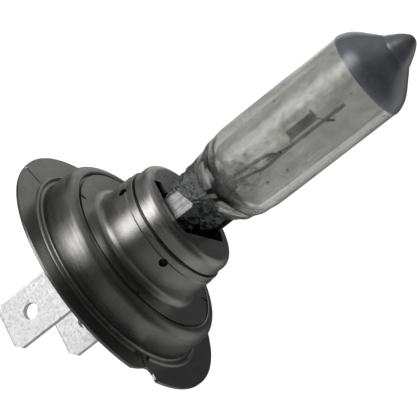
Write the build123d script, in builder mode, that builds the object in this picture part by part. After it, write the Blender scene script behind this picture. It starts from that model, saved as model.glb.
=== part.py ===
from build123d import *
from math import cos, radians, sin
import os

os.makedirs("parts", exist_ok=True)

# Headlight bulb with a prefocus flange cap. Millimetres.
# Origin: centre of the flange's front face. +Z runs along the lamp axis to the exhaust tip.

# ---- orientation of the pinch, clip and contact blades about the lamp axis ----
key_angle = -25.0

# ---- prefocus flange ring ----
rim_r = 17.0
sheet = 0.35
bead_mid_r = 13.80
bead_half = 0.32
bead_height = 0.26
bead_gap = 2.6
pilot_r = 13.0
pilot_foot = 0.30
pilot_height = 3.2
shoulder_r = 1.4
ring_top = pilot_height + shoulder_r
recess_r = 11.40
recess_floor = 4.15
ring_bore_r = 9.0
crease_angle = -171.0
notch_angle = -47.0
notch_floor_r = 15.50

# ---- focusing sleeve ----
sleeve_flange_r = 11.10
sleeve_flange_top = 4.56
sleeve_r = 7.95
sleeve_bore_r = 7.35
sleeve_top = 9.65
foot_fillet = 0.9
band_height = 8.75
band_step = 0.10
weld_hole_r = 0.55
weld_height = 8.3
weld_angles = (-71.0, -151.0, 109.0, 29.0)

# ---- burner cup ----
cup_r = 7.55
cup_stem_r = 7.2
cup_sheet = 0.4
cup_lip = 9.92
cup_round = 1.1
cup_top = 12.1
cup_bottom = 5.4
mouth_r = 5.65
mouth_near = 3.6
mouth_far = -2.4
slot_reach = -3.9
slot_width = 1.6
slot_mid = 4.55

# ---- burner clip ----
clip_sheet = 0.3
clip_gap = 0.05
clip_low = 7.2
wing_low = 9.2
wing_top = cup_top - cup_sheet - 0.05
wing_near = 3.0
wing_far = -3.5
tongue_near = 1.85
tongue_far = -0.95
tongue_top = 14.95

# ---- quartz envelope ----
tube_r = 5.6
tube_wall = 1.05
pinch_wide = 9.6
pinch_thick = 3.3
pinch_bottom = 5.8
pinch_top = 12.4
pinch_round = 0.7
neck_low_z = 13.6
neck_pinched_z = 14.6
neck_mid_z = 15.6
neck_flare_z = 16.6
neck_high_z = 17.8
shoulder_z = 19.4
shoulder_half = 5.28
tube_foot_z = 21.4
cavity_floor_z = 17.2
dome_z = 39.3
nub_base_z = 43.72
nub_base_r = 2.28
tip_z = 46.3
coat_thick = 0.05

# ---- filament and its supports ----
wire_r = 0.09
coil_r = 0.52
coil_turns = 17
coil_low = 27.7
coil_high = 31.9
coil_lean_x = 0.23
leg_sleeve_r = 0.17
support_r = 0.25
short_side = 0.15
long_side = -0.20
bridge_mid_z = 20.2
bridge_mid_n = 0.4
bridge_half = 3.3
bridge_r = 1.25

# ---- lead-through and contacts ----
foil_wide = 1.8
foil_thick = 0.12
foil_low = 8.4
foil_high = 14.4
foil_mid = 1.9
outer_lead_r = 0.35
blade_wide = 6.3
blade_thick = 0.8
blade_mid = 5.87
blade_tip = -14.1
blade_chamfer = 0.9
blade_hole_r = 1.04
blade_hole_z = -9.9
tab_wide = 2.6
tab_top = 3.0
base_r = 10.5
base_low = -1.3
base_high = 1.6
shell_r = 10.95
shell_sheet = 0.4
shell_top = recess_floor - sheet
rim_wide = 0.9
blade_gap = 0.05
ear_wide = 7.4
ear_high = 0.6

keyed = Plane.XY.rotated((0, 0, key_angle))
wide_dir = (-sin(radians(key_angle)), cos(radians(key_angle)), 0)
thick_dir = (cos(radians(key_angle)), sin(radians(key_angle)), 0)
lead_plane = Plane(origin=(0, 0, 0), x_dir=wide_dir, z_dir=thick_dir)
end_plane = Plane(origin=(0, 0, 0), x_dir=thick_dir, z_dir=tuple(-w for w in wide_dir))


def at(across, along, z):
    """A point from its offset through the pinch's thickness, along its width, and its height."""
    x = across * thick_dir[0] + along * wide_dir[0]
    y = across * thick_dir[1] + along * wide_dir[1]
    return (x, y, z)


# ---------------------------------------------------------------- flange ring
with BuildPart() as flange_ring:
    with BuildSketch(Plane.XZ):
        with BuildLine():
            Polyline((rim_r, -sheet), (rim_r, 0), (bead_mid_r + bead_half, 0))
            ThreePointArc(
                (bead_mid_r + bead_half, 0),
                (bead_mid_r, bead_height),
                (bead_mid_r - bead_half, 0),
            )
            Line((bead_mid_r - bead_half, 0), (pilot_r + pilot_foot, 0))
            RadiusArc((pilot_r + pilot_foot, 0), (pilot_r, pilot_foot), pilot_foot)
            Line((pilot_r, pilot_foot), (pilot_r, pilot_height))
            RadiusArc((pilot_r, pilot_height), (pilot_r - shoulder_r, ring_top), -shoulder_r)
            Polyline(
                (pilot_r - shoulder_r, ring_top),
                (recess_r, ring_top),
                (recess_r, recess_floor),
                (ring_bore_r, recess_floor),
                (ring_bore_r, recess_floor - sheet),
                (pilot_r - shoulder_r, recess_floor - sheet),
            )
            RadiusArc(
                (pilot_r - shoulder_r, recess_floor - sheet),
                (pilot_r - sheet, recess_floor - shoulder_r),
                shoulder_r - sheet,
            )
            Line((pilot_r - sheet, recess_floor - shoulder_r), (pilot_r - sheet, pilot_foot))
            RadiusArc(
                (pilot_r - sheet, pilot_foot),
                (pilot_r + pilot_foot, -sheet),
                -(pilot_foot + sheet),
            )
            Line((pilot_r + pilot_foot, -sheet), (rim_r, -sheet))
        make_face()
    revolve(axis=Axis.Z)
    # Key notch, with a long ramp on one side and a short step on the other.
    with BuildSketch(Plane.XY.rotated((0, 0, notch_angle)).offset(-sheet)):
        with BuildLine():
            Spline(
                (rim_r + 0.4, -3.3),
                (rim_r - 0.25, -2.3),
                (notch_floor_r + 0.75, -1.0),
                (notch_floor_r + 0.12, 0.2),
                (notch_floor_r, 1.05),
                (notch_floor_r + 0.45, 1.6),
                (rim_r - 0.45, 1.8),
                (rim_r + 0.4, 2.9),
                tangents=((-1, 0.9), (0.5, 1)),
            )
            Line((rim_r + 0.4, 2.9), (rim_r + 0.4, -3.3))
        make_face()
    extrude(amount=sheet, mode=Mode.SUBTRACT)
    # Radial crease pressed into the rim, ending in a nick at the edge.
    with BuildSketch(Plane.XY.rotated((0, 0, crease_angle))):
        with Locations((15.8, 0)):
            Rectangle(3.2, 0.22)
    extrude(amount=-0.16, mode=Mode.SUBTRACT)
    with BuildSketch(Plane.XY.rotated((0, 0, crease_angle)).offset(-sheet)):
        with Locations((rim_r, 0)):
            Circle(0.4)
    extrude(amount=sheet, mode=Mode.SUBTRACT)
    # The bead is flattened at the notch, where two small pressed ribs run out to the edge.
    with BuildSketch(Plane.XY.rotated((0, 0, notch_angle))):
        with Locations((bead_mid_r, 0)):
            Rectangle(2 * bead_half + 0.1, bead_gap)
    extrude(amount=bead_height + 0.1, mode=Mode.SUBTRACT)
    with BuildSketch(Plane.XY.rotated((0, 0, notch_angle))):
        with Locations((14.45, -0.55), (14.45, 0.25)):
            SlotOverall(1.9, 0.3)
    extrude(amount=0.14)
    fillet(flange_ring.edges().filter_by(GeomType.CIRCLE).filter_by(
        lambda e: abs(e.radius - recess_r) < 0.01 and e.center().Z > ring_top - 0.01), 0.18)

# ---------------------------------------------------------------- focusing sleeve
with BuildPart() as focus_sleeve:
    with BuildSketch(Plane.XZ):
        with BuildLine():
            Polyline(
                (sleeve_bore_r, recess_floor),
                (sleeve_flange_r, recess_floor),
                (sleeve_flange_r, sleeve_flange_top),
                (sleeve_r + foot_fillet, sleeve_flange_top),
            )
            RadiusArc(
                (sleeve_r + foot_fillet, sleeve_flange_top),
                (sleeve_r, sleeve_flange_top + foot_fillet),
                foot_fillet,
            )
            Polyline(
                (sleeve_r, sleeve_flange_top + foot_fillet),
                (sleeve_r, band_height - 0.12),
                (sleeve_r - band_step, band_height),
                (sleeve_r - band_step, sleeve_top),
                (sleeve_bore_r, sleeve_top),
                (sleeve_bore_r, recess_floor),
            )
        make_face()
    revolve(axis=Axis.Z)
    top_edges = focus_sleeve.edges().filter_by(GeomType.CIRCLE).group_by(Axis.Z)[-1]
    fillet(top_edges.sort_by(SortBy.RADIUS)[-1], 0.15)
    for weld_angle in weld_angles:
        around = radians(weld_angle)
        outward = Plane(origin=(0, 0, weld_height), z_dir=(cos(around), sin(around), 0))
        with BuildSketch(outward.offset(sleeve_bore_r - 1)):
            Circle(weld_hole_r)
        extrude(amount=3, mode=Mode.SUBTRACT)

# ---------------------------------------------------------------- weld spots
with BuildPart() as sleeve_weld_spots:
    for weld_angle in weld_angles:
        around = radians(weld_angle)
        outward = Plane(origin=(0, 0, weld_height), z_dir=(cos(around), sin(around), 0))
        with BuildSketch(outward.offset(cup_stem_r)):
            Circle(weld_hole_r - 0.02)
        extrude(amount=0.35)

with BuildPart() as flange_weld_spots:
    for weld_angle in weld_angles:
        with BuildSketch(Plane.XY.rotated((0, 0, weld_angle)).offset(sleeve_flange_top)):
            with Locations((10.75, 0)):
                SlotOverall(0.9, 0.26)
        extrude(amount=0.05)

# ---------------------------------------------------------------- burner cup
with BuildPart() as burner_cup:
    with BuildSketch(Plane.XZ):
        with BuildLine():
            Polyline(
                (0, cup_top - cup_sheet),
                (0, cup_top),
                (cup_r - cup_round, cup_top),
            )
            RadiusArc(
                (cup_r - cup_round, cup_top),
                (cup_r, cup_top - cup_round),
                cup_round,
            )
            Polyline(
                (cup_r, cup_top - cup_round),
                (cup_r, cup_lip),
                (cup_stem_r, cup_lip),
                (cup_stem_r, cup_bottom),
                (cup_stem_r - cup_sheet, cup_bottom),
                (cup_stem_r - cup_sheet, cup_top - cup_round),
            )
            RadiusArc(
                (cup_stem_r - cup_sheet, cup_top - cup_round),
                (cup_stem_r - cup_round, cup_top - cup_sheet),
                -(cup_round - cup_sheet),
            )
            Line((cup_stem_r - cup_round, cup_top - cup_sheet), (0, cup_top - cup_sheet))
        make_face()
    revolve(axis=Axis.Z)
    # Mouth for the pinch, round at both ends, with a slot at each end of its far side.
    with BuildSketch(keyed.offset(cup_top - 1.5)):
        with Locations(((mouth_near + mouth_far) / 2, 0)):
            Rectangle(mouth_near - mouth_far, 2 * mouth_r)
        Circle(mouth_r, mode=Mode.INTERSECT)
        with Locations((slot_reach / 2, slot_mid), (slot_reach / 2, -slot_mid)):
            Rectangle(-slot_reach, slot_width)
    extrude(amount=2, mode=Mode.SUBTRACT)

# ---------------------------------------------------------------- burner clip
clip_end = pinch_wide / 2 + clip_gap
clip_side = pinch_thick / 2 + clip_gap
with BuildPart() as burner_clip:
    with BuildSketch(keyed.offset(clip_low)):
        Rectangle(2 * (clip_side + clip_sheet), 2 * (clip_end + clip_sheet))
        Rectangle(2 * clip_side, 2 * clip_end, mode=Mode.SUBTRACT)
    extrude(amount=wing_low - clip_low)
    # Each end plate has wide wings below the cup's mouth and a narrow tongue above it.
    for end in (-1, 1):
        with BuildSketch(end_plane.offset(-end * (clip_end + clip_sheet / 2))):
            Polygon(
                (wing_far, wing_low),
                (wing_near, wing_low),
                (wing_near, wing_top),
                (tongue_near, wing_top),
                (tongue_near, tongue_top - 0.4),
                (tongue_near - 0.3, tongue_top),
                (tongue_far, tongue_top - 1.0),
                (tongue_far, wing_top),
                (wing_far, wing_top),
                align=None,
            )
        extrude(amount=clip_sheet / 2, both=True)

# ---------------------------------------------------------------- support leads
with BuildPart() as short_support_lead:
    with BuildLine(lead_plane.offset(short_side)) as short_path:
        Spline(
            (-foil_mid, foil_high - 0.9),
            (-1.80, 16.3),
            (-1.04, 18.2),
            (-0.69, 21.1),
            (-0.40, 22.8),
            (0.17, 24.0),
            (0.90, 24.55),
            (1.45, 24.35),
            tangents=((0, 1), (0.7, -0.7)),
        )
    with BuildSketch(short_path.line ^ 0):
        Circle(support_r)
    sweep()

with BuildPart() as long_support_lead:
    with BuildLine(lead_plane.offset(long_side)) as long_path:
        Spline(
            (foil_mid - 0.3, foil_high - 0.9),
            (1.15, 16.3),
            (1.45, 18.5),
            (2.75, 21.0),
            (3.0, 24.0),
            tangents=((0, 1), (0.02, 1)),
        )
        Line((3.0, 24.0), (3.05, 34.9))
    with BuildSketch(long_path.line ^ 0):
        Circle(support_r)
    sweep()

# ---------------------------------------------------------------- filament
coil_axis = Plane(
    origin=(-0.07, 0, coil_low),
    z_dir=(coil_lean_x, 0, coil_high - coil_low),
)
low_sleeve_foot = at(-0.03, 1.60, 23.2)
low_sleeve_head = at(-0.03, 2.13, 25.7)
high_sleeve_foot = at(0.23, 2.35, 31.95)
high_sleeve_head = at(0.23, 3.95, 32.55)
with BuildPart() as filament_coil:
    with BuildLine(coil_axis) as coil_path:
        Helix(
            pitch=(coil_high - coil_low) / coil_turns,
            height=coil_high - coil_low,
            radius=coil_r,
        )
    with BuildSketch(coil_path.line ^ 0):
        Circle(wire_r)
    sweep(path=coil_path.line, is_frenet=True)
    with BuildLine() as low_leg_path:
        Spline(
            coil_path.line @ 0,
            at(0.1, 1.9, 26.9),
            low_sleeve_head,
            tangents=(-(coil_path.line % 0), Vector(*low_sleeve_foot) - Vector(*low_sleeve_head)),
        )
    with BuildSketch(low_leg_path.line ^ 0):
        Circle(wire_r)
    sweep(path=low_leg_path.line)
    with BuildLine() as high_leg_path:
        Spline(
            coil_path.line @ 1,
            at(0.25, 1.5, 31.9),
            high_sleeve_foot,
            tangents=(coil_path.line % 1, Vector(*high_sleeve_head) - Vector(*high_sleeve_foot)),
        )
    with BuildSketch(high_leg_path.line ^ 0):
        Circle(wire_r)
    sweep(path=high_leg_path.line)

with BuildPart() as lower_leg_sleeve:
    with BuildLine() as lower_sleeve_path:
        Line(low_sleeve_foot, low_sleeve_head)
    with BuildSketch(lower_sleeve_path.line ^ 0):
        Circle(leg_sleeve_r)
    sweep()

with BuildPart() as upper_leg_sleeve:
    with BuildLine() as upper_sleeve_path:
        Line(high_sleeve_foot, high_sleeve_head)
    with BuildSketch(upper_sleeve_path.line ^ 0):
        Circle(leg_sleeve_r)
    sweep()

# ---------------------------------------------------------------- foils and outer leads
short_foil_mid = short_side - support_r - foil_thick / 2
long_foil_mid = long_side + support_r + foil_thick / 2


def make_foil(across, along):
    """A sealing foil set edge-on in the pinch, at the given offsets from the lamp axis."""
    with BuildPart() as foil:
        with BuildSketch(keyed.offset(foil_low)):
            with Locations((across, along)):
                Rectangle(foil_thick, foil_wide)
        extrude(amount=foil_high - foil_low)
    return foil


def make_outer_lead(across, side):
    """A stiff lead from its foil out of the pinch and across to the contact blade's weld tab."""
    reach = blade_mid - blade_thick / 2 - outer_lead_r
    with BuildPart() as outer_lead:
        with BuildLine(lead_plane.offset(across)) as lead_path:
            FilletPolyline(
                (side * foil_mid, foil_low + 0.9),
                (side * foil_mid, 4.1),
                (side * reach, 3.9),
                (side * reach, base_high + 0.3),
                radius=0.8,
            )
        with BuildSketch(lead_path.line ^ 0):
            Circle(outer_lead_r)
        sweep()
    return outer_lead


front_foil = make_foil(short_foil_mid, -foil_mid)
rear_foil = make_foil(long_foil_mid, foil_mid)
front_outer_lead = make_outer_lead(short_foil_mid + foil_thick / 2 + outer_lead_r, -1)
rear_outer_lead = make_outer_lead(long_foil_mid - foil_thick / 2 - outer_lead_r, 1)

# ---------------------------------------------------------------- quartz bridge
with BuildPart() as quartz_bridge:
    with BuildSketch(lead_plane):
        with Locations((bridge_mid_n, bridge_mid_z)):
            SlotOverall(2 * bridge_half, 2 * bridge_r)
        with Locations((bridge_mid_n, bridge_mid_z - bridge_r)):
            Rectangle(2 * bridge_half, 2 * bridge_r, mode=Mode.SUBTRACT)
    revolve(axis=Axis((at(0, 0, bridge_mid_z)), wide_dir))
    add(short_support_lead.part, mode=Mode.SUBTRACT)
    add(long_support_lead.part, mode=Mode.SUBTRACT)


# ---------------------------------------------------------------- quartz envelope
def shifted(radius, height, grow, lean):
    """A point of the outline moved outwards by grow, in the direction lean degrees above level."""
    return (radius + grow * cos(radians(lean)), height + grow * sin(radians(lean)))


def dome_outline(grow):
    """Right-hand outline of the closed end and its exhaust tip, moved outwards by grow."""
    nub_foot = shifted(nub_base_r, nub_base_z, grow, 35)
    Spline(
        shifted(tube_r, dome_z, grow, 0),
        shifted(tube_r - 0.16, dome_z + 0.75, grow, 20),
        shifted(tube_r - 0.55, dome_z + 1.55, grow, 35),
        shifted(tube_r - 1.15, dome_z + 2.3, grow, 45),
        shifted(tube_r - 1.95, dome_z + 3.1, grow, 46),
        nub_foot,
        tangents=((0, 1), (-1, 0.92)),
    )
    Spline(
        nub_foot,
        shifted(nub_base_r - 0.28, nub_base_z + 0.55, grow, 28),
        shifted(nub_base_r - 0.86, nub_base_z + 1.5, grow, 32),
        shifted(nub_base_r - 1.50, nub_base_z + 2.25, grow, 55),
        (0, tip_z + grow),
        tangents=((-0.3, 1), (-1, 0)),
    )


with BuildPart() as quartz_envelope:
    # The neck swells from the flat pinch to the round tube, later on the near side.
    with BuildSketch(keyed.offset(pinch_top)):
        RectangleRounded(pinch_thick, pinch_wide, pinch_round)
    with BuildSketch(keyed.offset(neck_low_z)):
        with Locations((-0.4, 0)):
            RectangleRounded(pinch_thick + 0.9, pinch_wide - 0.2, 1.5)
    with BuildSketch(keyed.offset(neck_pinched_z)):
        with Locations((-0.55, 0)):
            RectangleRounded(pinch_thick + 1.9, pinch_wide - 0.7, 2.3)
    with BuildSketch(keyed.offset(neck_mid_z)):
        with Locations((-0.35, 0)):
            RectangleRounded(pinch_thick + 3.85, pinch_wide - 0.8, 3.4)
    with BuildSketch(keyed.offset(neck_flare_z)):
        with Locations((-0.12, 0)):
            RectangleRounded(pinch_thick + 5.35, pinch_wide - 0.4, 4.2)
    with BuildSketch(keyed.offset(neck_high_z)):
        RectangleRounded(pinch_thick + 6.4, pinch_wide + 0.3, 4.8)
    with BuildSketch(keyed.offset(shoulder_z)):
        RectangleRounded(2 * shoulder_half, 2 * shoulder_half, shoulder_half - 0.02)
    with BuildSketch(keyed.offset(tube_foot_z)):
        RectangleRounded(2 * tube_r - 0.04, 2 * tube_r - 0.04, tube_r - 0.04)
    loft()
    with BuildSketch(keyed.offset(pinch_bottom)):
        RectangleRounded(pinch_thick, pinch_wide, pinch_round)
    extrude(amount=pinch_top - pinch_bottom)
    with BuildSketch(Plane.XZ):
        with BuildLine():
            Polyline((0, tube_foot_z), (tube_r, tube_foot_z), (tube_r, dome_z))
            dome_outline(0)
            Line((0, tip_z), (0, tube_foot_z))
        make_face()
    revolve(axis=Axis.Z)
    bore_r = tube_r - tube_wall
    with BuildSketch(Plane.XZ):
        with BuildLine():
            Spline(
                (0, cavity_floor_z),
                (2.4, cavity_floor_z + 0.35),
                (3.8, cavity_floor_z + 1.5),
                (4.35, 20.4),
                (bore_r, 24.5),
                tangents=((1, 0), (0, 1)),
            )
            Line((bore_r, 24.5), (bore_r, dome_z - 0.3))
            Spline(
                (bore_r, dome_z - 0.3),
                (bore_r - 0.75, dome_z + 1.3),
                (2.0, dome_z + 2.3),
                (0, dome_z + 2.6),
                tangents=((0, 1), (-1, 0)),
            )
            Line((0, dome_z + 2.6), (0, cavity_floor_z))
        make_face()
    revolve(axis=Axis.Z, mode=Mode.SUBTRACT)
    for sealed in (
        short_support_lead,
        long_support_lead,
        front_foil,
        rear_foil,
        front_outer_lead,
        rear_outer_lead,
    ):
        add(sealed.part, mode=Mode.SUBTRACT)

with BuildPart() as dome_coating:
    with BuildSketch(Plane.XZ):
        with BuildLine():
            Line((tube_r, dome_z), (tube_r + coat_thick, dome_z))
            dome_outline(coat_thick)
            Line((0, tip_z + coat_thick), (0, tip_z))
            dome_outline(0)
        make_face()
    revolve(axis=Axis.Z)


# ---------------------------------------------------------------- contacts and base
def make_blade(side):
    """One contact blade, its stop ears and its weld tab, on the given side of the lamp axis."""
    with BuildPart() as blade:
        with BuildSketch(end_plane.offset(-side * blade_mid)) as outline:
            with Locations((0, (blade_tip + base_high) / 2)):
                Rectangle(blade_wide, base_high - blade_tip)
            chamfer(outline.vertices().group_by(Axis.Y)[0], blade_chamfer)
            with Locations((0, base_high + ear_high / 2)):
                Rectangle(ear_wide, ear_high)
            with Locations((0, (base_high + tab_top) / 2)):
                Rectangle(tab_wide, tab_top - base_high)
            with Locations((0, blade_hole_z)):
                Circle(blade_hole_r, mode=Mode.SUBTRACT)
        extrude(amount=blade_thick / 2, both=True)
        chamfer(blade.edges().group_by(Axis.Z)[0].sort_by(SortBy.LENGTH)[-2:], 0.22)
    return blade


front_blade = make_blade(-1)
rear_blade = make_blade(1)

with BuildPart() as ceramic_base:
    with BuildSketch(Plane.XY.offset(base_low)):
        Circle(base_r)
    extrude(amount=base_high - base_low)
    with BuildSketch(Plane.XY.offset(base_high)):
        Circle(base_r)
        Circle(base_r - rim_wide, mode=Mode.SUBTRACT)
    extrude(amount=shell_top - base_high)
    with BuildSketch(keyed.offset(base_low)):
        with Locations((0, blade_mid), (0, -blade_mid)):
            Rectangle(blade_wide + 2 * blade_gap, blade_thick + 2 * blade_gap)
    extrude(amount=base_high - base_low, mode=Mode.SUBTRACT)

with BuildPart() as base_shell:
    with BuildSketch(Plane.XZ):
        with BuildLine():
            Polyline(
                (shell_r - shell_sheet, shell_top),
                (shell_r, shell_top),
                (shell_r, base_low),
            )
            RadiusArc((shell_r, base_low), (shell_r - shell_sheet, base_low - shell_sheet), shell_sheet)
            Polyline(
                (shell_r - shell_sheet, base_low - shell_sheet),
                (base_r - 0.8, base_low - shell_sheet),
                (base_r - 0.8, base_low),
                (shell_r - shell_sheet, base_low),
                (shell_r - shell_sheet, shell_top),
            )
        make_face()
    revolve(axis=Axis.Z)

# ---------------------------------------------------------------- export
pieces = {
    "flange_ring": flange_ring,
    "focus_sleeve": focus_sleeve,
    "sleeve_weld_spots": sleeve_weld_spots,
    "flange_weld_spots": flange_weld_spots,
    "burner_cup": burner_cup,
    "burner_clip": burner_clip,
    "quartz_envelope": quartz_envelope,
    "dome_coating": dome_coating,
    "quartz_bridge": quartz_bridge,
    "filament_coil": filament_coil,
    "lower_leg_sleeve": lower_leg_sleeve,
    "upper_leg_sleeve": upper_leg_sleeve,
    "short_support_lead": short_support_lead,
    "long_support_lead": long_support_lead,
    "front_foil": front_foil,
    "rear_foil": rear_foil,
    "front_outer_lead": front_outer_lead,
    "rear_outer_lead": rear_outer_lead,
    "front_blade": front_blade,
    "rear_blade": rear_blade,
    "ceramic_base": ceramic_base,
    "base_shell": base_shell,
}
for piece_name, piece in pieces.items():
    piece.part.label = piece_name
    export_step(piece.part, f"parts/{piece_name}.step")
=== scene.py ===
from math import atan2, cos, pi, radians, sin, sqrt

import bpy
from mathutils import Matrix, Vector, noise


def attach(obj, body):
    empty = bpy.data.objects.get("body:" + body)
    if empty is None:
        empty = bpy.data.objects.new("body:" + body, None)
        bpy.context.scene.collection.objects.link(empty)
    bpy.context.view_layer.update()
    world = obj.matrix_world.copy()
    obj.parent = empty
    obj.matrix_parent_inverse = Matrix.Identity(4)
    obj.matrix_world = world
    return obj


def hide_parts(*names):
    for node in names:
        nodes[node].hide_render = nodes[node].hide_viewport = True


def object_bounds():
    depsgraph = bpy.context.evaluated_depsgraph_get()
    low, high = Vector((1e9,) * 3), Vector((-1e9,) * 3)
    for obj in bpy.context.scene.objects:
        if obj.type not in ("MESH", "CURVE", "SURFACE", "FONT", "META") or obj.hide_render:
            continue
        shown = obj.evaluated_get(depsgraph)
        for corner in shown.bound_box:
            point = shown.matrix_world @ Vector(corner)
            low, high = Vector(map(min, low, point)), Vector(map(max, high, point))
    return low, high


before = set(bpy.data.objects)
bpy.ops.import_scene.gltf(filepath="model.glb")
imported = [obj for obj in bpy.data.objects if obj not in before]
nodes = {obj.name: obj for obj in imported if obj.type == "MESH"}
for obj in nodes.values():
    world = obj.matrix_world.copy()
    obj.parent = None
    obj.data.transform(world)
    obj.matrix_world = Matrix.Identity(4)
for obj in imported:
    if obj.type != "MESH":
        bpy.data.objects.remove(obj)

cad_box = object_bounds()
MM = 0.001
scene = bpy.context.scene

# The pinch, clip and blades are turned by this angle about the lamp axis.
# Directions in that turned frame are called a (across the pinch) and n (along it).
KEY = radians(-25.0)


# ------------------------------------------------------------------ node helpers
class Tree:
    """A small wrapper that adds and links shader nodes."""

    def __init__(self, tree):
        self.tree = tree
        tree.nodes.clear()

    def add(self, kind, inputs=None, **settings):
        node = self.tree.nodes.new(kind)
        for key, value in settings.items():
            setattr(node, key, value)
        for key, value in (inputs or {}).items():
            self.put(node.inputs[key], value)
        return node

    def put(self, socket, value):
        if isinstance(value, bpy.types.NodeSocket):
            self.tree.links.new(value, socket)
        else:
            socket.default_value = value

    def math(self, operation, a, b=0.0, clamp=False):
        node = self.add("ShaderNodeMath", {0: a, 1: b}, operation=operation)
        node.use_clamp = clamp
        return node.outputs[0]

    def vmath(self, operation, a, b=(0, 0, 0), out=0):
        return self.add("ShaderNodeVectorMath", {0: a, 1: b}, operation=operation).outputs[out]

    def ramp(self, factor, stops):
        node = self.add("ShaderNodeValToRGB", {0: factor})
        elements = node.color_ramp.elements
        while len(elements) < len(stops):
            elements.new(0.5)
        for element, (at, colour) in zip(elements, stops):
            element.position = at
            element.color = (*colour, 1) if len(colour) == 3 else colour
        return node.outputs[0]

    def noise(self, vector, scale, detail=4.0, rough=0.55, distortion=0.0):
        node = self.add("ShaderNodeTexNoise", {
            "Vector": vector, "Scale": scale, "Detail": detail,
            "Roughness": rough, "Distortion": distortion})
        return node.outputs[0]

    def mix(self, factor, a, b, blend="MIX"):
        node = self.add("ShaderNodeMix", data_type="RGBA", blend_type=blend)
        self.put(node.inputs[0], factor)
        self.put(node.inputs[6], a)
        self.put(node.inputs[7], b)
        return node.outputs[2]

    def remap(self, value, low, high, to_low, to_high):
        node = self.add("ShaderNodeMapRange", {
            0: value, 1: low, 2: high, 3: to_low, 4: to_high})
        return node.outputs[0]


def material(name):
    mat = bpy.data.materials.new(name)
    mat.use_nodes = True
    return mat, Tree(mat.node_tree)


def grey(level, warm=0.0):
    return (level * (1 + warm), level, level * (1 - 1.6 * warm), 1)


def paint(names, mat):
    for name in names:
        for slot in nodes[name].material_slots:
            slot.material = mat


def object_mm(t):
    """Object coordinates in millimetres: vector, x, y, z, radius and angle about the lamp axis."""
    coord = t.add("ShaderNodeTexCoord").outputs["Object"]
    vec = t.vmath("SCALE", coord)
    vec.node.inputs["Scale"].default_value = 1000.0
    parts = t.add("ShaderNodeSeparateXYZ", {0: vec}).outputs
    x, y, z = parts[0], parts[1], parts[2]
    radius = t.math("SQRT", t.math("ADD", t.math("MULTIPLY", x, x), t.math("MULTIPLY", y, y)))
    angle = t.math("ARCTAN2", y, x)
    return vec, x, y, z, radius, angle


# ------------------------------------------------------------------ materials
def shade_colour(t, level, warm, shade):
    """A grey of that level, multiplied by a shade value."""
    triple = t.add("ShaderNodeCombineXYZ", {0: shade, 1: shade, 2: shade}).outputs[0]
    return t.mix(1.0, grey(level, warm), triple, "MULTIPLY")


def drawn_steel(name, level, rough, warm=0.012, scuff=0.5):
    """Drawn sheet steel: fine drawing lines round the axis, mottled wash, short cross scuffs."""
    mat, t = material(name)
    vec, _, _, z, radius, angle = object_mm(t)
    around = t.add("ShaderNodeCombineXYZ", {
        0: t.math("MULTIPLY", angle, 2.2), 1: t.math("MULTIPLY", z, 3.4),
        2: t.math("MULTIPLY", radius, 3.4)}).outputs[0]
    upright = t.add("ShaderNodeCombineXYZ", {
        0: t.math("MULTIPLY", angle, 30.0), 1: t.math("MULTIPLY", z, 0.5),
        2: t.math("MULTIPLY", radius, 0.5)}).outputs[0]
    lines = t.noise(around, 1.6, 5.0, 0.68)
    scuffs = t.noise(upright, 1.3, 4.0, 0.7)
    mottle = t.noise(vec, 0.42, 6.0, 0.62)
    grain = t.noise(vec, 7.0, 3.0, 0.7)
    marks = t.remap(scuffs, 0.60, 0.76, 0.0, scuff)
    shade = t.math("ADD", t.remap(mottle, 0.3, 0.7, 0.86, 1.12),
                   t.remap(lines, 0.3, 0.7, -0.08, 0.08))
    shade = t.math("SUBTRACT", shade, t.math("MULTIPLY", marks, 0.35))
    roughness = t.math("ADD", t.remap(lines, 0.3, 0.7, rough - 0.06, rough + 0.08),
                       t.remap(grain, 0.3, 0.7, -0.04, 0.04))
    height = t.math("ADD", t.math("MULTIPLY", lines, 0.5), t.math("MULTIPLY", grain, 0.35))
    height = t.math("ADD", height, t.math("MULTIPLY", scuffs, 0.4))
    bump = t.add("ShaderNodeBump", {"Strength": 0.22, "Distance": 0.00007, "Height": height})
    shader = t.add("ShaderNodeBsdfPrincipled", {
        "Base Color": shade_colour(t, level, warm, shade), "Metallic": 1.0,
        "Roughness": roughness, "Normal": bump.outputs[0]})
    t.add("ShaderNodeOutputMaterial", {0: shader.outputs[0]})
    return mat


def tin_plate(name, level, rough, rubbed=0.35):
    """Matt tin plate: fine grey speckle, soft clouding and a few handling lines."""
    mat, t = material(name)
    vec, x, y, z = object_mm(t)[:4]
    speck = t.noise(vec, 2.6, 3.0, 0.75)
    cloud = t.noise(vec, 0.55, 3.0, 0.5)
    down = t.add("ShaderNodeCombineXYZ", {
        0: t.math("MULTIPLY", x, 5.0), 1: t.math("MULTIPLY", y, 5.0),
        2: t.math("MULTIPLY", z, 0.35)}).outputs[0]
    rubs = t.noise(down, 1.0, 3.0, 0.6)
    colour = t.ramp(speck, [(0.30, (level * 0.52,) * 3), (0.43, (level * 0.86,) * 3),
                            (0.60, (level,) * 3)])
    colour = t.mix(t.remap(cloud, 0.3, 0.7, 0.0, 0.45), colour, grey(level * 0.86))
    colour = t.mix(t.remap(rubs, 0.62 - 0.2 * rubbed, 0.8 - 0.2 * rubbed, 0.0, rubbed), colour,
                   grey(level * (0.82 - 0.35 * rubbed)))
    height = t.math("ADD", speck, t.math("MULTIPLY", rubs, 0.5))
    bump = t.add("ShaderNodeBump", {"Strength": 0.35, "Distance": 0.00008, "Height": height})
    shader = t.add("ShaderNodeBsdfPrincipled", {
        "Base Color": colour, "Metallic": 0.85,
        "Roughness": t.remap(speck, 0.3, 0.7, rough + 0.08, rough - 0.06),
        "Normal": bump.outputs[0]})
    t.add("ShaderNodeOutputMaterial", {0: shader.outputs[0]})
    return mat


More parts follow.
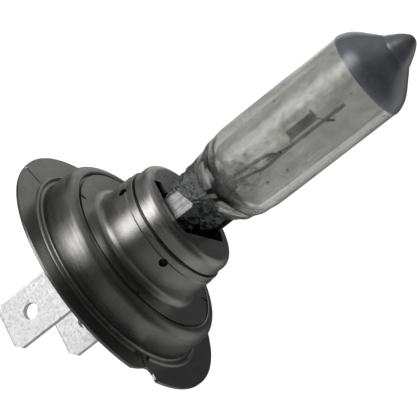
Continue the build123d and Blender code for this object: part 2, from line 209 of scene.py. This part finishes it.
def wire_metal(name, level, rough, warm=0.03):
    """Drawn refractory wire: dull grey with fine oxide mottling."""
    mat, t = material(name)
    vec = object_mm(t)[0]
    oxide = t.noise(vec, 3.5, 4.0, 0.6)
    shade = t.remap(oxide, 0.3, 0.7, 0.6, 1.3)
    bump = t.add("ShaderNodeBump", {"Strength": 0.2, "Distance": 0.00003, "Height": oxide})
    shader = t.add("ShaderNodeBsdfPrincipled", {
        "Base Color": shade_colour(t, level, warm, shade), "Metallic": 1.0,
        "Roughness": t.remap(oxide, 0.3, 0.7, rough - 0.08, rough + 0.1),
        "Normal": bump.outputs[0]})
    t.add("ShaderNodeOutputMaterial", {0: shader.outputs[0]})
    return mat


def smoky_quartz(name, tint, gloss, film):
    """Fused quartz: smoky, with mottled bands of painted highlight, draw lines, specks and a pinch
    painted dark as shade.
    """
    mat, t = material(name)
    vec, x, y, z, radius, angle = object_mm(t)
    degrees = t.math("MULTIPLY", angle, 180 / pi)
    along = t.add("ShaderNodeCombineXYZ", {
        0: t.math("MULTIPLY", angle, 3.2), 1: t.math("MULTIPLY", z, 0.05), 2: 0.0}).outputs[0]
    streak = t.noise(along, 1.7, 6.0, 0.62)
    slow = t.add("ShaderNodeCombineXYZ", {
        0: t.math("MULTIPLY", x, 0.5), 1: t.math("MULTIPLY", y, 0.5),
        2: t.math("MULTIPLY", z, 0.28)}).outputs[0]
    cloud = t.noise(slow, 0.8, 6.0, 0.66)
    fine = t.noise(vec, 1.1, 5.0, 0.68)
    cells = t.add("ShaderNodeTexVoronoi", {"Vector": vec, "Scale": 0.62})
    dot = t.remap(cells.outputs["Distance"], 0.08, 0.13, 1.0, 0.0)
    rare = t.math("GREATER_THAN", t.add("ShaderNodeSeparateXYZ", {
        0: cells.outputs["Color"]}).outputs[0], 0.3)
    dot = t.math("MULTIPLY", dot, rare)
    outer = t.remap(radius, 4.9, 5.2, 0.0, 1.0)
    above = t.remap(z, 17.5, 21.0, 0.0, 1.0)
    tube = t.math("MULTIPLY", outer, above)
    # Painted highlight: two mottled bands, mirrored in the XZ plane so that the near and far walls
    #     brighten together, lighten the tint where the light's streak falls. They drift round the
    #     tube towards the dome.
    both_walls = t.math("MULTIPLY", t.math("ABSOLUTE", degrees), -1.0)
    turned = t.math("ADD", both_walls, t.math("ADD", t.math("MULTIPLY", z, 1.1), 72.5))
    left_side = t.remap(turned, -34.0, -10.0, 0.0, 1.0)
    right_side = t.remap(turned, 10.0, 20.0, 1.0, 0.0)
    painted_highlight_band = t.math("MULTIPLY", t.math("MULTIPLY", left_side, right_side), tube)
    blot = t.remap(t.math("ADD", t.math("MULTIPLY", fine, 0.65), t.math(
        "MULTIPLY", cloud, 0.35)), 0.41, 0.56, 0.25, 1.0)
    level = t.math("ADD", t.remap(streak, 0.3, 0.7, tint - 0.035, tint + 0.035),
                   t.remap(cloud, 0.35, 0.65, -0.03, 0.03))
    level = t.math("ADD", level, t.math("MULTIPLY", painted_highlight_band, t.remap(blot, 0.25, 1.0, 0.01, 0.24)))
    # Painted shade: the glass under the gas space is tinted darker, in curled flow lines, and most
    # of all at its end towards -n, standing in for the dark seen through the neck.
    keyed_n = t.math("ADD", t.math("MULTIPLY", x, -sin(KEY)), t.math("MULTIPLY", y, cos(KEY)))
    low = t.remap(z, 17.6, 20.6, 1.0, 0.0)
    outer_low = t.remap(t.math("SUBTRACT", radius, t.remap(z, 17.2, 20.4, 1.6, 4.35)), 0.2, 0.5,
                        0.35, 1.0)
    painted_end_shade = t.math("MULTIPLY", low, t.remap(keyed_n, -3.6, -2.4, 1.0, 0.0))
    curl = t.math("ADD", z, t.math("MULTIPLY", t.math("MULTIPLY", keyed_n, keyed_n), 0.09))
    flow_lines = t.noise(t.add("ShaderNodeCombineXYZ", {
        0: t.math("MULTIPLY", curl, 2.4), 1: angle, 2: 0.0}).outputs[0], 0.9, 3.0, 0.6)
    low_shade = t.math("MULTIPLY", t.math("MULTIPLY", low, outer_low), t.remap(
        flow_lines, 0.44, 0.56, 0.55, 0.05))
    level = t.math("MULTIPLY", level, t.math("SUBTRACT", 1.0, low_shade))
    level = t.math("MULTIPLY", level, t.math("SUBTRACT", 1.0, t.math(
        "MULTIPLY", painted_end_shade, 0.36)))
    level = t.math("MULTIPLY", level, t.math("SUBTRACT", 1.0, t.math(
        "MULTIPLY", t.math("MULTIPLY", dot, tube), 0.8)))
    # A thin bright line beside a thin dark one runs up the tube.
    dark_line = t.remap(t.math("ABSOLUTE", t.math("ADD", degrees, 41.0)), 0.6, 1.8, 0.16, 0.0)
    pale_line = t.remap(t.math("ABSOLUTE", t.math("ADD", degrees, 37.0)), 0.8, 2.4, 0.12, 0.0)
    level = t.math("ADD", level, t.math("MULTIPLY", tube, t.math("SUBTRACT", pale_line, dark_line)))
    colour = t.add("ShaderNodeCombineXYZ", {
        0: level, 1: level, 2: t.math("MULTIPLY", level, 0.975)})
    bump = t.add("ShaderNodeBump", {
        "Strength": 0.10, "Distance": 0.0002,
        "Height": t.math("ADD", streak, t.math("MULTIPLY", fine, 0.12))})
    through = t.add("ShaderNodeBsdfRefraction", {
        "Color": colour.outputs[0], "Roughness": 0.0, "IOR": 1.45})
    sheen = t.add("ShaderNodeBsdfGlossy", {
        "Color": (1, 1, 0.99, 1),
        "Roughness": t.remap(cloud, 0.35, 0.65, 0.16, 0.30), "Normal": bump.outputs[0]})
    edge = t.add("ShaderNodeFresnel", {"IOR": 1.45}).outputs[0]
    patch = t.remap(t.math("ADD", t.math("MULTIPLY", cloud, 0.7), t.math(
        "MULTIPLY", fine, 0.3)), 0.38, 0.62, 0.65, 1.35)
    amount = t.math("MULTIPLY", edge, t.math("MULTIPLY", patch, gloss), clamp=True)
    glass = t.add("ShaderNodeMixShader", {0: amount, 1: through.outputs[0], 2: sheen.outputs[0]})
    dust_and_highlight_film = t.add("ShaderNodeBsdfDiffuse", {"Color": (0.86, 0.88, 0.86, 1)})
    cover = t.math("MULTIPLY", tube, t.remap(cloud, 0.42, 0.66, film * 0.2, film))
    # Part dust and part painted highlight: a little more white film is put in the painted highlight
    # bands.
    cover = t.math("ADD", cover, t.math("MULTIPLY", t.math("MULTIPLY", painted_highlight_band, blot), 0.07),
                   clamp=True)
    filmed = t.add("ShaderNodeMixShader", {0: cover, 1: glass.outputs[0], 2: dust_and_highlight_film.outputs[0]})
    # Painted shade: a dark glossy coat covers the pinched end, up to a fold that climbs towards -n,
    # standing in for the dark seen through the crumpled glass.
    wobble = t.noise(vec, 0.9, 4.0, 0.6)
    fold = t.math("ADD", t.math("SUBTRACT", 16.1, t.math("MULTIPLY", keyed_n, 0.20)),
                  t.remap(wobble, 0.3, 0.7, -0.9, 0.9))
    pinch_shade = t.remap(t.math("SUBTRACT", z, fold), -0.35, 0.15, 1.0, 0.0)
    clear_end = t.math("MULTIPLY", t.remap(keyed_n, 3.3, 3.7, 0.0, 1.0),
                       t.remap(z, 12.9, 13.5, 0.0, 1.0))
    pinch_shade = t.math("MULTIPLY", pinch_shade, t.math("SUBTRACT", 1.0, clear_end))
    streaks = t.noise(t.add("ShaderNodeCombineXYZ", {
        0: t.math("MULTIPLY", angle, 2.0), 1: t.math("MULTIPLY", z, 0.9),
        2: radius}).outputs[0], 1.4, 4.0, 0.6)
    pinch_shade_colour = t.ramp(streaks, [(0.36, (0.006, 0.006, 0.006)), (0.55, (0.022, 0.025, 0.026)),
                                   (0.66, (0.055, 0.066, 0.068)), (0.74, (0.015, 0.016, 0.016))])
    pinch_shade_coat = t.add("ShaderNodeBsdfPrincipled", {
        "Base Color": pinch_shade_colour, "Roughness": t.remap(wobble, 0.3, 0.7, 0.04, 0.18),
        "IOR": 1.6, "Specular IOR Level": 0.9, "Normal": t.add("ShaderNodeBump", {
            "Strength": 0.9, "Distance": 0.00035, "Height": fine}).outputs[0]})
    shader = t.add("ShaderNodeMixShader", {
        0: t.math("MULTIPLY", pinch_shade, 0.96), 1: filmed.outputs[0], 2: pinch_shade_coat.outputs[0]})
    t.add("ShaderNodeOutputMaterial", {0: shader.outputs[0]})
    return mat


def clear_quartz(name):
    """Clear quartz bead: see-through, faint flow lines, a pale rim and a fine dark outline of
    painted shade.
    """
    mat, t = material(name)
    vec = object_mm(t)[0]
    melt = t.noise(vec, 1.3, 4.0, 0.6)
    bump = t.add("ShaderNodeBump", {"Strength": 0.5, "Distance": 0.0003, "Height": melt})
    facing = t.add("ShaderNodeLayerWeight", {
        "Blend": 0.5, "Normal": bump.outputs[0]}).outputs["Facing"]
    # Painted shade: a thin dark ring where the bead's faces turn away, standing in for the dark
    # edge that refraction shows.
    painted_edge_shade = t.math("MULTIPLY", t.remap(facing, 0.70, 0.78, 0.0, 1.0),
                     t.remap(facing, 0.84, 0.92, 1.0, 0.0))
    shade = t.math("SUBTRACT", t.remap(melt, 0.3, 0.7, 0.93, 1.0),
                   t.math("MULTIPLY", painted_edge_shade, 0.8))
    through = t.add("ShaderNodeBsdfTransparent", {
        "Color": t.add("ShaderNodeCombineXYZ", {0: shade, 1: shade, 2: shade}).outputs[0]})
    glint = t.add("ShaderNodeBsdfGlossy", {
        "Color": (1, 1, 1, 1), "Roughness": 0.08, "Normal": bump.outputs[0]})
    amount = t.math("MULTIPLY", t.add("ShaderNodeFresnel", {
        "IOR": 1.45, "Normal": bump.outputs[0]}).outputs[0], 0.5, clamp=True)
    shader = t.add("ShaderNodeMixShader", {0: amount, 1: through.outputs[0], 2: glint.outputs[0]})
    t.add("ShaderNodeOutputMaterial", {0: shader.outputs[0]})
    return mat


def dome_paint(name):
    """Satin graphite coating with fine pigment grain and soft clouding."""
    mat, t = material(name)
    vec = object_mm(t)[0]
    cloud = t.noise(vec, 0.45, 5.0, 0.62)
    grain = t.noise(vec, 9.0, 3.0, 0.65)
    pits = t.noise(vec, 1.8, 4.0, 0.7)
    colour = t.ramp(cloud, [(0.3, (0.075, 0.076, 0.083)), (0.7, (0.135, 0.136, 0.150))])
    colour = t.mix(t.remap(pits, 0.64, 0.74, 0.0, 0.5), colour, (0.05, 0.05, 0.05, 1))
    height = t.math("ADD", grain, t.math("MULTIPLY", pits, 0.6))
    bump = t.add("ShaderNodeBump", {"Strength": 0.2, "Distance": 0.00006, "Height": height})
    shader = t.add("ShaderNodeBsdfPrincipled", {
        "Base Color": colour, "Metallic": 0.25, "Specular IOR Level": 0.6,
        "Coat Weight": 0.8, "Coat IOR": 1.8, "Coat Roughness": 0.26,
        "Coat Tint": (0.93, 0.95, 1.0, 1),
        "Roughness": t.remap(grain, 0.3, 0.7, 0.34, 0.48), "Normal": bump.outputs[0]})
    t.add("ShaderNodeOutputMaterial", {0: shader.outputs[0]})
    return mat


def bare_ceramic(name):
    """Unglazed steatite: pale, slightly porous."""
    mat, t = material(name)
    vec = object_mm(t)[0]
    pores = t.noise(vec, 2.5, 6.0, 0.7)
    colour = t.ramp(pores, [(0.3, (0.62, 0.59, 0.52)), (0.55, (0.82, 0.79, 0.72)),
                            (0.8, (0.86, 0.84, 0.78))])
    bump = t.add("ShaderNodeBump", {"Strength": 0.3, "Distance": 0.0001, "Height": pores})
    shader = t.add("ShaderNodeBsdfPrincipled", {
        "Base Color": colour, "Roughness": 0.7, "Normal": bump.outputs[0]})
    t.add("ShaderNodeOutputMaterial", {0: shader.outputs[0]})
    return mat


# Painted shade: ring, sleeve and cup are the same drawn steel at three levels, darkest at the ring
# and brightest at the cup, standing in for the shade that deepens towards the flange.
ring_steel_painted_dark = drawn_steel("ring_steel_painted_dark", 0.23, 0.30)
sleeve_steel_painted_dim = drawn_steel("sleeve_steel_painted_dim", 0.30, 0.30)
cup_steel = drawn_steel("cup_steel", 0.36, 0.30)
shell_steel = drawn_steel("shell_steel", 0.30, 0.36)
weld_metal = wire_metal("weld_metal", 0.03, 0.45)
clip_steel = tin_plate("clip_steel", 0.27, 0.36, 0.95)
blade_tin = tin_plate("blade_tin", 0.70, 0.46)
moly = wire_metal("moly", 0.34, 0.36, 0.05)
tungsten = wire_metal("tungsten", 0.10, 0.42)
foil_metal = wire_metal("foil_metal", 0.25, 0.35)
quartz = smoky_quartz("quartz", 0.645, 1.9, 0.13)
bridge_quartz = clear_quartz("bridge_quartz")
coating = dome_paint("dome_paint")
ceramic = bare_ceramic("steatite")

paint(["flange_ring"], ring_steel_painted_dark)
paint(["focus_sleeve"], sleeve_steel_painted_dim)
paint(["burner_cup"], cup_steel)
paint(["base_shell"], shell_steel)
paint(["sleeve_weld_spots", "flange_weld_spots"], weld_metal)
paint(["burner_clip"], clip_steel)
paint(["front_blade", "rear_blade"], blade_tin)
paint(["short_support_lead", "long_support_lead", "lower_leg_sleeve", "upper_leg_sleeve",
       "front_outer_lead", "rear_outer_lead"], moly)
paint(["filament_coil"], tungsten)
paint(["front_foil", "rear_foil"], foil_metal)
paint(["quartz_bridge"], bridge_quartz)
paint(["dome_coating"], coating)
paint(["ceramic_base"], ceramic)

# ------------------------------------------------------------------ quartz envelope
ROUND = 224
TUBE_R = 5.6
PINCH_FOOT, TIP = 5.8, 46.24
CLIP_LOW, CLIP_HIGH, CLIP_INSIDE = 7.0, 15.0, 4.81

# Height, half thickness, shift along a, half width and squareness of the body's sections.
SECTIONS = [
    (PINCH_FOOT, 1.65, 0.0, 4.8, 8.0), (12.4, 1.65, 0.0, 4.8, 8.0), (13.6, 2.1, -0.4, 4.7, 5.0),
    (14.6, 2.6, -0.55, 4.45, 3.6), (15.6, 3.575, -0.35, 4.4, 2.6),
    (16.6, 4.325, -0.12, 4.6, 2.15), (17.8, 4.85, 0.0, 4.95, 2.0),
    (19.4, 5.28, 0.0, 5.28, 2.0), (21.4, 5.58, 0.0, 5.58, 2.0), (24.0, TUBE_R, 0.0, TUBE_R, 2.0)]
# Height and radius of the dome and exhaust tip, then of the gas space.
DOME = [(39.3, 5.57), (40.05, 5.41), (40.85, 5.02), (41.6, 4.42), (42.4, 3.62), (43.72, 2.25),
        (44.27, 1.97), (45.22, 1.39), (45.97, 0.75)]
CAVITY = [(17.2, 0.0), (17.24, 0.8), (17.36, 1.7), (17.62, 2.6), (18.05, 3.3), (18.7, 3.8),
          (19.5, 4.13), (20.4, 4.35), (22.0, 4.48), (24.5, 4.55), (39.0, 4.55), (39.8, 4.35),
          (40.6, 3.8), (41.2, 3.0), (41.6, 2.0), (41.85, 1.0), (41.9, 0.0)]


def between(table, z):
    """The table's row at height z, in straight lines between neighbours."""
    for low, high in zip(table, table[1:]):
        if z <= high[0]:
            f = (z - low[0]) / (high[0] - low[0])
            return [a + (b - a) * f for a, b in zip(low[1:], high[1:])]
    return list(table[-1][1:])


def blended(z):
    """Section values averaged over a short height, which rounds the table's corners."""
    rows = [between(SECTIONS, z + d) for d in (-0.5, -0.25, 0.0, 0.25, 0.5)]
    return [sum(v) / len(v) for v in zip(*rows)]


def folds(p):
    """Crumpling of hot-pinched quartz, from -1 to 1."""
    wide = 1 - 2.4 * abs(noise.noise(p * 0.75 + Vector((3, 1, 7))))
    small = 1 - 2.4 * abs(noise.noise(p * 1.9 + Vector((8, 2, 5))))
    return 0.7 * wide + 0.35 * small


def flow(n, z):
    """Flow lines that curl round the swelling neck."""
    return sin(2.6 * (z + 0.09 * n * n) + 1.2 * noise.noise(Vector((n * 0.5, z * 0.4, 0))))


def ramp(value, low, high):
    """0 below low and 1 above high, with a smooth step between."""
    f = min(max((value - low) / (high - low), 0.0), 1.0)
    return f * f * (3 - 2 * f)


def envelope_point(z, step):
    """Point of the outer surface at height z: a, n and z, with folds and flow lines."""
    psi = 2 * pi * step / ROUND
    half_a, shift, half_n, power = blended(z) if z < SECTIONS[-1][0] else SECTIONS[-1][1:]
    phi = atan2(half_n * sin(psi), half_a * cos(psi))
    reach = (abs(cos(phi) / half_a) ** power + abs(sin(phi) / half_n) ** power) ** (-1 / power)
    a, n = reach * cos(phi) + shift, reach * sin(phi)
    broad = ramp(abs(cos(psi)), 0.05, 0.5)
    crumpled = ramp(z, 9.3, 10.6) * (1 - ramp(z, 15.0, 17.0))
    rippled = ramp(z, 15.2, 16.6) * (1 - ramp(z, 19.0, 21.5))
    bend = 0.34 * crumpled * folds(Vector((a, n, z))) * (0.25 + 0.75 * broad)
    bend += 0.07 * rippled * flow(n, z)
    length = sqrt(a * a + n * n)
    a, n = a + bend * a / length, n + bend * n / length
    if CLIP_LOW < z < CLIP_HIGH:
        n = min(max(n, -CLIP_INSIDE), CLIP_INSIDE)
    return a, n, z


def circle(r, z):
    return [(r * cos(2 * pi * i / ROUND), r * sin(2 * pi * i / ROUND), z) for i in range(ROUND)]


def closed_shell(rings, low_tip, high_tip, inward):
    """Points and faces of a closed surface from stacked rings and its two tips."""
    points = [low_tip] + [p for ring in rings for p in ring] + [high_tip]
    count = len(rings[0])
    faces = []
    for i in range(count):
        j = (i + 1) % count
        faces.append((0, 1 + j, 1 + i))
        for k in range(len(rings) - 1):
            start = 1 + k * count
            faces.append((start + i, start + j, start + count + j, start + count + i))
        start = 1 + (len(rings) - 1) * count
        faces.append((start + i, start + j, len(points) - 1))
    if inward:
        faces = [tuple(reversed(face)) for face in faces]
    return points, faces


heights = [PINCH_FOOT] + [7.0 + 0.5 * i for i in range(5)]
heights += [9.3 + 0.12 * i for i in range(103)]
heights += [22.0, 23.0, 25.0, 28.0, 32.0, 36.0, 39.0]
outside = [[envelope_point(z, i) for i in range(ROUND)] for z in heights]
for (z0, r0), (z1, r1) in zip(DOME, DOME[1:]):
    for f in (0.0, 0.5):
        r, z = r0 + (r1 - r0) * f, z0 + (z1 - z0) * f
        outside.append(circle(r, z))
inside = [circle(r, z) for z, r in CAVITY[1:-1]]
points, faces = closed_shell(outside, (0, 0, PINCH_FOOT), (0, 0, TIP), False)
more_points, more_faces = closed_shell(inside, (0, 0, CAVITY[0][0]), (0, 0, CAVITY[-1][0]), True)
faces += [tuple(v + len(points) for v in face) for face in more_faces]
points += more_points
envelope_mesh = bpy.data.meshes.new("quartz_body")
envelope_mesh.from_pydata([
    (MM * (a * cos(KEY) - n * sin(KEY)), MM * (a * sin(KEY) + n * cos(KEY)), MM * z)
    for a, n, z in points], [], faces)
envelope_mesh.polygons.foreach_set("use_smooth", [True] * len(faces))
envelope_mesh.materials.append(quartz)
quartz_body = bpy.data.objects.new("quartz_body", envelope_mesh)
scene.collection.objects.link(quartz_body)
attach(quartz_body, "root")
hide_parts("quartz_envelope")

# ------------------------------------------------------------------ floor, light and camera
FLOOR_HALF, FLOOR_GAP = 1.5, 0.00002
floor_z = cad_box[0][2] - FLOOR_GAP
floor_mesh = bpy.data.meshes.new("floor")
floor_mesh.from_pydata([
    (FLOOR_HALF * across, FLOOR_HALF * away, floor_z)
    for across, away in ((-1, -1), (1, -1), (1, 1), (-1, 1))], [], [(0, 1, 2, 3)])
floor = bpy.data.objects.new("floor", floor_mesh)
scene.collection.objects.link(floor)
floor_mat, t = material("floor_white")
lit = t.add("ShaderNodeBsdfDiffuse", {"Color": (0.85, 0.85, 0.85, 1)})
glow = t.add("ShaderNodeEmission", {"Color": (1, 1, 1, 1), "Strength": 0.9})
both = t.add("ShaderNodeAddShader", {0: lit.outputs[0], 1: glow.outputs[0]})
t.add("ShaderNodeOutputMaterial", {0: both.outputs[0]})
floor_mesh.materials.append(floor_mat)
floor.visible_glossy = False

# Azimuth, elevation, inner and outer radius in degrees and strength of the studio's soft lights.
LOBES = [
    (-142, -16, 5, 21, 4.2), (-144, 10, 4, 22, 2.0), (5, -14, 10, 52, 0.36),
    (-60, -20, 10, 45, 0.16), (110, -14, 8, 34, 0.25), (38, 30, 8, 34, 0.45),
    (172, -12, 5, 30, 0.22), (165, 42, 15, 45, 0.40), (-150, 26, 3, 20, 2.6)]

world = bpy.data.worlds.new("studio")
scene.world = world
world.use_nodes = True
t = Tree(world.node_tree)
look = t.vmath("NORMALIZE", t.add("ShaderNodeTexCoord").outputs["Generated"])


def lobe(azimuth, elevation, inner, outer):
    """1 inside inner degrees of that direction, 0 beyond outer degrees, smooth between."""
    a, e = radians(azimuth), radians(elevation)
    towards = (cos(e) * cos(a), cos(e) * sin(a), sin(e))
    facing = t.vmath("DOT_PRODUCT", look, towards, 1)
    node = t.add("ShaderNodeMapRange", {
        0: facing, 1: cos(radians(outer)), 2: cos(radians(inner)), 3: 0.0, 4: 1.0})
    node.interpolation_type = "SMOOTHSTEP"
    return node.outputs[0]


total = t.remap(t.add("ShaderNodeSeparateXYZ", {0: look}).outputs[2], 0.35, 0.8, 0.09, 0.05)
for azimuth, elevation, inner, outer, strength in LOBES:
    glowing = lobe(azimuth, elevation, inner, outer)
    total = t.math("ADD", total, t.math("MULTIPLY", glowing, strength))
shine = t.add("ShaderNodeBackground", {
    "Color": t.add("ShaderNodeCombineXYZ", {0: total, 1: total, 2: total}).outputs[0],
    "Strength": 1.0})
t.add("ShaderNodeOutputWorld", {0: shine.outputs[0]})


def soft_panel(name, centre, width, height, radiance):
    """A softbox facing the lamp: centre and sizes in millimetres."""
    data = bpy.data.lights.new(name, "AREA")
    data.shape = "RECTANGLE"
    data.size = width * MM
    data.size_y = height * MM
    data.energy = radiance * pi * data.size * data.size_y
    panel = bpy.data.objects.new(name, data)
    scene.collection.objects.link(panel)
    towards = Vector(centre).normalized()
    panel.matrix_world = Matrix.Translation(Vector(centre) * MM) @ towards.to_track_quat(
        "Z", "Y").to_matrix().to_4x4()
    panel.visible_camera = False
    panel.visible_transmission = False
    return panel


soft_panel("rear_left_panel", (-42, 80, 34), 64, 60, 0.5)

# The camera looks down at the lamp from -Y, and is rolled so that the lamp lies across the picture.
CAMERA_AT = (0.8543, -202.3321, 86.2695)
CAMERA_TILT, CAMERA_ROLL = radians(19.61), radians(51.94)
SENSOR = 36.0
LENS = 4.316547 * SENSOR
back = Vector((0, -cos(CAMERA_TILT), sin(CAMERA_TILT)))
right0 = Vector((1, 0, 0))
up0 = back.cross(right0)
right = cos(CAMERA_ROLL) * right0 + sin(CAMERA_ROLL) * up0
up = -sin(CAMERA_ROLL) * right0 + cos(CAMERA_ROLL) * up0
camera_data = bpy.data.cameras.new("camera")
camera_data.sensor_width = SENSOR
camera_data.lens = LENS
camera_data.clip_start = 0.01
camera_data.clip_end = 10.0
camera = bpy.data.objects.new("camera", camera_data)
scene.collection.objects.link(camera)
turn = Matrix((right, up, back)).transposed().to_4x4()
camera.matrix_world = Matrix.Translation(Vector(CAMERA_AT) * MM) @ turn
scene.camera = camera
scene.view_settings.view_transform = "Standard"
